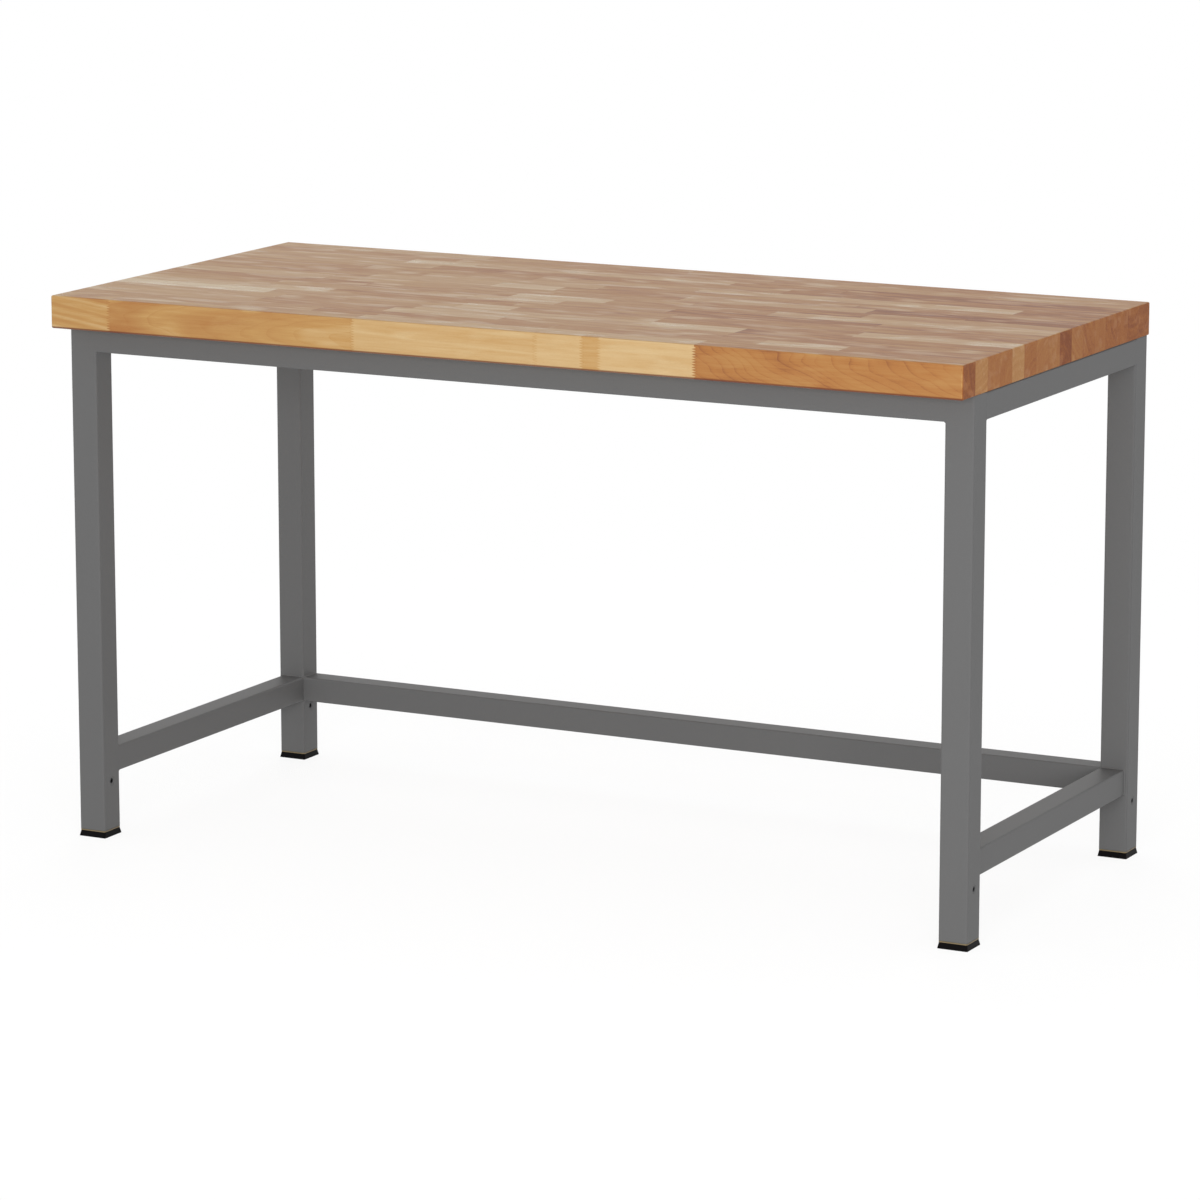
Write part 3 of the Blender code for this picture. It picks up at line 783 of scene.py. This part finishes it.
def panel_sides(staves, half):
    """The panel's six sides: each one's grid of points, the middles of its faces, and the axis it faces.

    The grids have lines at the joints, glue lines and fingers and round the edges. Each point of the sharp
    box is pulled in to lie one radius from the nearest point of a box that is smaller by the radius.
    """
    inner = half - EDGE_RADIUS
    bend = np.tan(np.linspace(0, np.pi / 4, EDGE_STEPS)) * EDGE_RADIUS
    rim = np.concatenate([[-FLAT_RIM], bend])
    glue = np.arange(1, STAVE_COUNT) * (2 * half[1] / STAVE_COUNT) - half[1]
    heights = np.linspace(-inner[2], inner[2], 2 * FINGER_COUNT + 1)
    marks = (np.concatenate(staves) - half[0], glue, heights[1:-1])
    lines = [np.concatenate([-(reach + rim), reach + rim, mark]) for reach, mark in zip(inner, marks)]
    lines = [np.unique(line.round(MERGE_DIGITS)) for line in lines]
    sides = []
    for axis in range(3):
        first, second = (axis + 1) % 3, (axis + 2) % 3
        for sign in (-1, 1):
            a, b = np.meshgrid(lines[first], lines[second], indexing="ij")
            sharp = np.empty((*a.shape, 3))
            sharp[..., first] = a
            sharp[..., second] = b
            sharp[..., axis] = sign * half[axis]
            nearest = np.clip(sharp, -inner, inner)
            outward = sharp - nearest
            points = nearest + EDGE_RADIUS * outward / np.linalg.norm(outward, axis=-1, keepdims=True)
            if axis == 1:
                edge_stave = staves[0 if sign < 0 else -1]
                points[..., 0] += finger_zigzag(sharp, edge_stave - half[0], heights)
            middles = (sharp[:-1, :-1] + sharp[1:, 1:]) / 2
            sides.append((points[::sign], middles[::sign], axis))
    return sides


def panel_mesh(sides, centre):
    """One closed mesh from the sides, the middle of each face, and one for each face of end grain."""
    points, quads, middles, ends = [], [], [], []
    count = 0
    for grid, middle, axis in sides:
        index = np.arange(grid.shape[0] * grid.shape[1]).reshape(grid.shape[:2]) + count
        corners = [index[:-1, :-1], index[1:, :-1], index[1:, 1:], index[:-1, 1:]]
        quads.append(np.stack(corners, -1).reshape(-1, 4))
        points.append(grid.reshape(-1, 3))
        middles.append(middle.reshape(-1, 3))
        ends.append(np.full(len(quads[-1]), float(axis == 0)))
        count += index.size
    points, quads, middles, ends = (np.concatenate(part) for part in (points, quads, middles, ends))
    _, first, merged = np.unique(points.round(MERGE_DIGITS), axis=0, return_index=True, return_inverse=True)
    mesh = bpy.data.meshes.new("worktop_panel")
    mesh.from_pydata((points[first] + centre).tolist(), [], merged.reshape(-1)[quads].tolist())
    return mesh, middles, ends


def wood_of_lengths(rng, staves, half, centre):
    """Tone, heart, lean and figure of every length, by stave and by place along it.

    The heart lies at a random angle and reach from the length's middle, unless the length has its own.
    """
    most = max(len(joints) for joints in staves) + 1
    tones = rng.normal(*USUAL_TONE, (STAVE_COUNT, most))
    heart = np.zeros((STAVE_COUNT, most, 3))
    for s, joints in enumerate(staves):
        stops = np.concatenate([[0], joints, [2 * half[0]]])
        middle = (stops[1:] + stops[:-1]) / 2
        heart[s, :len(middle), 0] = middle - half[0]
        heart[s, :, 1] = (s + 0.5) * (2 * half[1] / STAVE_COUNT) - half[1]
        # Lengths get redder to the right: partly painted sheen, paler at the left end
        tones[s, :len(middle)] += TONE_AND_SHEEN_DRIFT * (middle / half[0] - 1) / 2
        for start, stop, tone in MARKED_LENGTHS.get(s, []):
            tones[s, np.abs(middle - (start + stop) / 2 * MM).argmin()] = tone
    heart = (heart + centre) / MM
    level = np.zeros(tones.shape)
    around = rng.uniform(0, 2 * np.pi, tones.shape)
    reach = rng.uniform(*HEART_REACH, tones.shape)
    offset = np.stack([level, reach * np.cos(around), reach * np.sin(around)], -1)
    lean = np.stack([level, *rng.normal(0, USUAL_LEAN, (2, *tones.shape))], -1)
    figure = np.tile(USUAL_FIGURE, (*tones.shape, 1)) * rng.uniform(*FIGURE_SPREAD, (*tones.shape, 3))
    figure[..., 1] *= tones / FIGURE_TONE
    for number, (away, leaning, rings) in FRONT_FIGURES.items():
        offset[0, number, 1:] = away
        lean[0, number, 1:] = leaning
        figure[0, number] = rings
    return tones, heart + offset, lean, figure


def make_panel(material):
    """The whole panel as one closed mesh, whose faces carry what the material needs of their wood."""
    low, high = (np.array(corner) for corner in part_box("worktop"))
    half, centre = (high - low) / 2, (low + high) / 2
    rng = np.random.default_rng(PANEL_SEED)
    staves = panel_joints(rng, 2 * half[0])
    mesh, middles, end_grain = panel_mesh(panel_sides(staves, half), centre)
    tones, heart, lean, figure = wood_of_lengths(rng, staves, half, centre)

    width = 2 * half[1] / STAVE_COUNT
    stave = np.clip(((middles[:, 1] + half[1]) / width).astype(int), 0, STAVE_COUNT - 1)
    length = np.zeros(len(stave), int)
    joint = np.zeros(len(stave))
    for s, joints in enumerate(staves):
        mine = stave == s
        length[mine] = np.searchsorted(joints, middles[mine, 0] + half[0])
        places = np.append(NO_JOINT, joints[::-1] - half[0])
        joint[mine] = places[np.abs(middles[mine, :1] - places).argmin(1)] / MM
    right_end = (end_grain > 0) & (middles[:, 0] > 0)
    tone = np.where(right_end, np.array(END_TONES)[stave], tones[stave, length])
    front_top = (stave == 0) & (middles[:, 2] > half[2] - FLAT_RIM)
    tone = np.where(front_top, (tone + FRONT_INNER_TONE) / 2, tone)
    values = {
        "tone": tone,
        "end_grain": end_grain,
        "joint": joint,
        "heart": heart[stave, length],
        "figure": figure[stave, length],
        "lean": lean[stave, length],
    }
    for name, value in values.items():
        kind, socket = ("FLOAT", "value") if value.ndim == 1 else ("FLOAT_VECTOR", "vector")
        layer = mesh.attributes.new(name, kind, "FACE")
        layer.data.foreach_set(socket, value.astype(np.float32).ravel())
    mesh.shade_smooth()
    mesh.materials.append(material)
    return placed("worktop_panel", mesh)


def wood_noise(tree, wood, spread, detail=2.0):
    """Noise in a length's own wood, with the given blotches in a millimetre along, across and through it."""
    place = node(tree, "VectorMath", (wood, spread), "MULTIPLY")
    return node(tree, "TexNoise", {"Vector": place, "Scale": 1.0, "Detail": detail})


def ring_noise(tree, rings, share):
    """Noise that changes from ring to ring, by the given share of a blotch for each."""
    place = node(tree, "Math", (rings, share), "MULTIPLY")
    return node(tree, "TexNoise", {"W": place, "Scale": 1.0, "Detail": 1.0}, noise_dimensions="1D")


def weighted_sum(tree, start, *parts):
    """The start and each part times its strength, added up."""
    for part, strength in parts:
        start = node(tree, "Math", (part, strength, start), "MULTIPLY_ADD")
    return start


def growth_rings(tree, wood, tone):
    """The tone with its growth rings.

    Rings are the distance from the heart's line, which leans through the length, in ring widths. Late wood is
    the sixth power of a ring's fraction, a thin dark line, and good and lean years make broader bands of it.
    """
    lean = node(tree, "Attribute", attribute_name="lean").outputs["Vector"]
    figure = node(tree, "Attribute", attribute_name="figure").outputs["Vector"]
    ring_width, line_strength, band_strength = node(tree, "SeparateXYZ", (figure,)).outputs
    along = node(tree, "SeparateXYZ", (wood,))
    leaning = node(tree, "VectorMath", {0: lean, "Scale": along}, "SCALE")
    from_heart = node(tree, "VectorMath", (wood, (0, 1, 1), leaning), "MULTIPLY_ADD")
    reach = node(tree, "VectorMath", (from_heart,), "LENGTH").outputs["Value"]
    strayed = weighted_sum(tree, reach, (wood_noise(tree, wood, RING_WOBBLE), WOBBLE_REACH))
    rings = node(tree, "Math", (strayed, ring_width), "DIVIDE")
    rings = weighted_sum(tree, rings, (ring_noise(tree, rings, 0.13), 3.5))
    fraction = node(tree, "Math", (rings,), "FRACT")
    late_wood = node(tree, "Math", (fraction, 6.0), "POWER")
    late_wood = node(tree, "Math", (late_wood, ring_noise(tree, rings, 1.1)), "MULTIPLY")
    years = node(tree, "Math", (ring_noise(tree, rings, 0.29), 0.5), "SUBTRACT")
    lines = node(tree, "Math", (line_strength, FIGURE_CONTRAST), "MULTIPLY")
    bands = node(tree, "Math", (band_strength, FIGURE_CONTRAST), "MULTIPLY")
    return weighted_sum(tree, tone, (late_wood, lines), (years, bands))


def glue_lines(tree, x, y, z):
    """One on the glue between staves and between lengths, and one on the panel's front and rear edges.

    A joint is a straight line on the top. On the edges it goes to and fro with the height, as its fingers do.
    """
    from_middle = node(tree, "Math", (y,), "ABSOLUTE")
    from_front = node(tree, "Math", (y, PANEL_DEPTH / 2 / MM), "ADD")
    from_line = node(tree, "Math", (from_front, PANEL_DEPTH / STAVE_COUNT / 2 / MM), "PINGPONG")
    on_line = node(tree, "Math", (from_line, GLUE_LINE / 2 / MM), "LESS_THAN")
    inside = node(tree, "Math", (from_middle, (PANEL_DEPTH / 2 - EDGE_RADIUS) / MM), "LESS_THAN")
    on_stave = node(tree, "Math", (on_line, inside), "MULTIPLY")
    on_edge = node(tree, "Math", (from_middle, (PANEL_DEPTH / 2 - EDGE_SKIN) / MM), "GREATER_THAN")

    finger_step = (PANEL_THICKNESS - 2 * EDGE_RADIUS) / FINGER_COUNT / 2 / MM
    finger_base = (cad_high.z - PANEL_THICKNESS + EDGE_RADIUS) / MM
    height = node(tree, "Math", (z, finger_base), "SUBTRACT")
    zigzag = node(tree, "Math", (height, finger_step), "PINGPONG")
    tooth = weighted_sum(tree, -FINGER_LENGTH / MM / 2, (zigzag, FINGER_LENGTH / MM / finger_step))
    tooth = node(tree, "Math", (tooth, on_edge), "MULTIPLY")
    joint = node(tree, "Attribute", attribute_name="joint").outputs["Fac"]
    from_joint = node(tree, "Math", (x, joint), "SUBTRACT")
    from_joint = node(tree, "Math", (from_joint, tooth), "SUBTRACT")
    from_joint = node(tree, "Math", (from_joint,), "ABSOLUTE")
    half_line = weighted_sum(tree, GLUE_LINE / 2 / MM, (on_edge, EDGE_GLUE_MORE / MM))
    on_joint = node(tree, "Math", (from_joint, half_line), "LESS_THAN")
    return node(tree, "Math", (on_stave, on_joint), "MAXIMUM"), on_edge


def lower_edge_shading(tree, z, end_grain):
    """How much painted shade lies at a height on the front and rear edges: most at the bottom, none higher
    up.
    """
    height = node(tree, "Math", (z, (cad_high.z - PANEL_THICKNESS) / MM), "SUBTRACT")
    on_side = node(tree, "Math", (height, BASE_SKIN / MM), "GREATER_THAN")
    on_side = node(tree, "Math", (on_side, end_grain), "SUBTRACT")
    shaded_share = node(tree, "MapRange", (height, 0.6 * EDGE_SHADE_HEIGHT / MM, EDGE_SHADE_HEIGHT / MM, 1.0, 0.0))
    return node(tree, "Math", (shaded_share, on_side), "MULTIPLY")


def oiled_beech():
    """Sanded beech under a thin coat of oil.

    The growth rings, with fibres, long streaks, flecks, short dark rays and the glue, move the colour between
    straw yellow and red brown. Fibres and streaks are calmer on the panel's edges and ends.
    """
    material, tree = new_material("finger-jointed beech, oiled")
    tone = node(tree, "Attribute", attribute_name="tone").outputs["Fac"]
    end_grain = node(tree, "Attribute", attribute_name="end_grain").outputs["Fac"]
    heart = node(tree, "Attribute", attribute_name="heart").outputs["Vector"]
    metres = node(tree, "TexCoord").outputs["Object"]
    place = node(tree, "VectorMath", (metres, (1 / MM, 1 / MM, 1 / MM)), "MULTIPLY")
    x, y, z = node(tree, "SeparateXYZ", (place,)).outputs
    wood = node(tree, "VectorMath", (place, heart), "SUBTRACT")
    glue, on_edge = glue_lines(tree, x, y, z)

    fibre, streak, broad = (
        node(tree, "Math", (wood_noise(tree, wood, spread), 0.5), "SUBTRACT")
        for spread in (FIBRE, STREAK, BROAD_BAND)
    )
    fleck = node(tree, "MapRange", (wood_noise(tree, wood, FLECK, 1.0), 0.54, 0.66, 0.0, 1.0))
    ray_size = (MM / RAY_LENGTH, MM / RAY_WIDTH, MM / RAY_WIDTH)
    ray_place = node(tree, "VectorMath", (wood, ray_size), "MULTIPLY")
    ray = node(tree, "TexVoronoi", {"Vector": ray_place, "Scale": 1.0})
    ray = node(tree, "MapRange", (ray, 0.12, 0.26, 1.0, 0.0))

    lengthways = weighted_sum(tree, 0.0, (fibre, 0.4), (streak, 0.62), (fleck, -0.24), (broad, 0.6))
    calm = node(tree, "Math", (on_edge, end_grain), "MAXIMUM")
    calm = weighted_sum(tree, 1.0, (calm, -0.55))
    shade = growth_rings(tree, wood, tone)
    shade = weighted_sum(tree, shade, (lengthways, calm), (ray, 0.09), (glue, 0.16))
    ramp = node(tree, "ValToRGB", (shade,))
    ramp.color_ramp.elements[0].color = linear(BEECH_STRAW)
    ramp.color_ramp.elements[1].color = linear(BEECH_BROWN)
    for position, colour in ((0.36, BEECH_TAN), (0.58, BEECH_ORANGE), (0.78, BEECH_RED)):
        ramp.color_ramp.elements.new(position).color = linear(colour)
    cut = node(tree, "Mix", {0: end_grain, 6: WHITE, 7: linear(END_GRAIN)}, data_type="RGBA").outputs[2]
    cut_colour = {0: 1.0, 6: ramp, 7: cut}
    colour = node(tree, "Mix", cut_colour, data_type="RGBA", blend_type="MULTIPLY").outputs[2]
    # Painted shade along the lower edge of the front and rear faces
    shaded_share = node(tree, "Math", (lower_edge_shading(tree, z, end_grain), 0.85), "MULTIPLY")
    colour = node(tree, "Mix", {0: shaded_share, 6: colour, 7: linear(PAINTED_EDGE_SHADE)}, data_type="RGBA").outputs[2]

    rough = weighted_sum(tree, 0.31, (end_grain, 0.15), (tone, 0.22), (fleck, -0.1), (fibre, 0.3))
    relief = weighted_sum(tree, fibre, (ray, -0.4))
    bump = node(tree, "Bump", {"Height": relief, "Distance": FIBRE_DEPTH, "Strength": 0.5})
    finish(tree, Base_Color=colour, Roughness=rough, IOR=1.42, Normal=bump)
    return material


panel = make_panel(oiled_beech())
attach(panel, "bench")
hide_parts("worktop")


# Worktop screws
# Six zinc-plated steel screws with pan heads and a cross recess, driven up through the plates into the
# worktop.

HEAD_RADIUS = 6.5 * MM
HEAD_HEIGHT = 4 * MM
HEAD_RIM = 0.35  # share of its height that stands upright
HEAD_STEPS = 96
RECESS_REACH = 3.4 * MM
RECESS_HALF = 0.75 * MM
RECESS_DEPTH = 2.2 * MM
RECESS_SLOPE = 0.3  # share of half a blade's width over which its wall slopes
RECESS_FLAT = 0.15  # share of the reach in which the floor is at its deepest
SHANK_RADIUS = 3 * MM
POINT_LENGTH = 6 * MM


def pan_head(name, place, shank_top):
    """A pan head seen from below, on a plain shank.

    The head falls from its rim as a rounded crown. The recess is where either coordinate lies within half a
    blade's width, and its floor slopes up from the middle. Its rings lie closer than the crown's.
    """
    angle = np.linspace(0, 2 * np.pi, HEAD_STEPS, endpoint=False)
    share = np.concatenate([np.linspace(0.001, 0.66, 26), np.linspace(0.7, 1, 10)])
    radius = share[:, None] * HEAD_RADIUS
    x, y = radius * np.cos(angle), radius * np.sin(angle)
    crown = np.sqrt(np.clip(1 - share ** 3, 0, 1))
    dome = HEAD_HEIGHT * (HEAD_RIM + (1 - HEAD_RIM) * crown)[:, None]
    blade = np.minimum(np.abs(x), np.abs(y)) / RECESS_HALF
    wall = np.clip((1 + RECESS_SLOPE / 2 - blade) / RECESS_SLOPE, 0, 1)
    floor = RECESS_DEPTH * np.clip(1 + RECESS_FLAT - radius / RECESS_REACH, 0, 1)
    head = np.stack([x, y, -(dome - wall * floor)], -1)
    shank = [
        (HEAD_RADIUS, 0.0),
        (SHANK_RADIUS, 0.0),
        (SHANK_RADIUS, shank_top - POINT_LENGTH),
        (POLE_RADIUS, shank_top),
    ]
    rings = [np.stack([r * np.cos(angle), r * np.sin(angle), np.full(HEAD_STEPS, z)], -1) for r, z in shank]
    grid = np.concatenate([head, np.stack(rings)]) + place
    return surface(name, grid, ZINC_PLATE, capped=True)


for end in ("front", "rear"):
    for where in ("left", "middle", "right"):
        low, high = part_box(f"worktop_screw_{end}_{where}")
        middle = np.array([(low.x + high.x) / 2, (low.y + high.y) / 2, low.z + HEAD_HEIGHT])
        screw = pan_head(f"screw_{end}_{where}", middle, high.z - middle[2])
        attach(screw, "bench")
        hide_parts(f"worktop_screw_{end}_{where}")


# Floor, light and camera
# A plain white floor that fades to white and keeps a soft shadow, a pale surround, and two broad soft lamps.
# The bench's frame stays where it is as the legs are drawn out, so the floor goes down with the front left
# foot.

FLOOR_HALF = 60.0
FLOOR_PAINT = "#CBCBCB"
LIT_PAINT = 0.385  # how bright the floor's paint is away from the shadow
SHADOW_SHARE = 0.35  # how much of the floor's own shading the camera sees near the bench
SHADOW_REACH = (0.9, 2.6)  # where it starts to fade, and where the floor is plain white
SURROUND_LIGHT = 0.52
LAMP_WIDE = 4.5
LAMP_TALL = 2.2
LAMP_DISTANCE = 7.0
CAMERA_PLACE = (3.6030, -6.9384, 1.9599)
CAMERA_DOWN = 11.3719  # degrees below level
CAMERA_HEADING = 27.4195  # degrees to the left of straight to the rear
CAMERA_LENS = 157.229
CAMERA_SENSOR = 36


def seen_directly(tree):
    """One where a camera, mirror or glass ray arrives, and nothing for scattered light."""
    path = node(tree, "LightPath").outputs
    shine = node(tree, "Math", (path["Is Camera Ray"], path["Is Glossy Ray"]), "MAXIMUM")
    return node(tree, "Math", (shine, path["Is Transmission Ray"]), "MAXIMUM")


def white_floor():
    """Matt white paint, of which the camera sees only a share near the bench, lifted to white: its shadow.

    Past that share, and from below, it is clear, so a leg that is drawn out below it still shows.
    """
    material, tree = new_material("white studio floor")
    tree.nodes.clear()
    paint = node(tree, "BsdfDiffuse", {"Color": linear(FLOOR_PAINT)})
    lift = node(tree, "Emission", {"Color": WHITE, "Strength": 1 - LIT_PAINT})
    lifted = node(tree, "AddShader", (paint, lift))
    clear = node(tree, "BsdfTransparent")
    place = node(tree, "TexCoord").outputs["Object"]
    away = node(tree, "VectorMath", (place,), "LENGTH").outputs["Value"]
    fade = (away, *SHADOW_REACH, SHADOW_SHARE, 0.0)
    share = node(tree, "MapRange", fade, interpolation_type="SMOOTHSTEP")
    seen = node(tree, "MixShader", (share, clear, lifted))
    above = node(tree, "MixShader", (seen_directly(tree), paint, seen))
    behind = node(tree, "NewGeometry").outputs["Backfacing"]
    both = node(tree, "MixShader", (behind, above, clear))
    node(tree, "OutputMaterial", (both,))
    return material


floor_mesh = bpy.data.meshes.new("floor")
floor_corners = np.array([[-1, -1, 0], [1, -1, 0], [1, 1, 0], [-1, 1, 0]]) * FLOOR_HALF
floor_mesh.from_pydata(floor_corners.tolist(), [], [(0, 1, 2, 3)])
floor_mesh.materials.append(white_floor())
floor = placed("floor", floor_mesh)
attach(floor, "extension_front_left")

world = bpy.data.worlds.new("pale surround")
world.use_nodes = True
bpy.context.scene.world = world
world_tree = world.node_tree
world_tree.nodes.clear()
scattered = node(world_tree, "Background", (WHITE, SURROUND_LIGHT))
plain = node(world_tree, "Background", (WHITE, 1.0))
mixed = node(world_tree, "MixShader", (seen_directly(world_tree), scattered, plain))
node(world_tree, "OutputWorld", (mixed,))


def soft_lamp(name, heading, height, light):
    """A broad lamp aimed at the bench's middle, turned and raised by degrees.

    Light is its share of the level at which colours show as written: a lamp's watts are that share times the
    square of its distance and of pi. It gives scattered light alone: gloss and metal show the surround.
    """
    lamp = bpy.data.lights.new(name, "AREA")
    lamp.shape = "RECTANGLE"
    lamp.size = LAMP_WIDE
    lamp.size_y = LAMP_TALL
    lamp.energy = light * (math.pi * LAMP_DISTANCE) ** 2
    holder = placed(name, lamp)
    turn, tilt = math.radians(heading), math.radians(height)
    across = LAMP_DISTANCE * math.cos(tilt)
    up = (cad_low.z + cad_high.z) / 2 + LAMP_DISTANCE * math.sin(tilt)
    holder.location = (across * math.sin(turn), -across * math.cos(turn), up)
    holder.rotation_euler = (math.pi / 2 - tilt, 0, turn)
    holder.visible_glossy = False


soft_lamp("key lamp", heading=24, height=9, light=0.6)
soft_lamp("fill lamp behind", heading=205, height=9, light=0.3)

camera = bpy.data.cameras.new("camera")
camera.lens = CAMERA_LENS
camera.sensor_width = CAMERA_SENSOR
camera_object = placed("camera", camera)
camera_object.location = CAMERA_PLACE
camera_object.rotation_euler = (math.radians(90 - CAMERA_DOWN), 0, math.radians(CAMERA_HEADING))
bpy.context.scene.camera = camera_object
bpy.context.scene.view_settings.view_transform = "Standard"
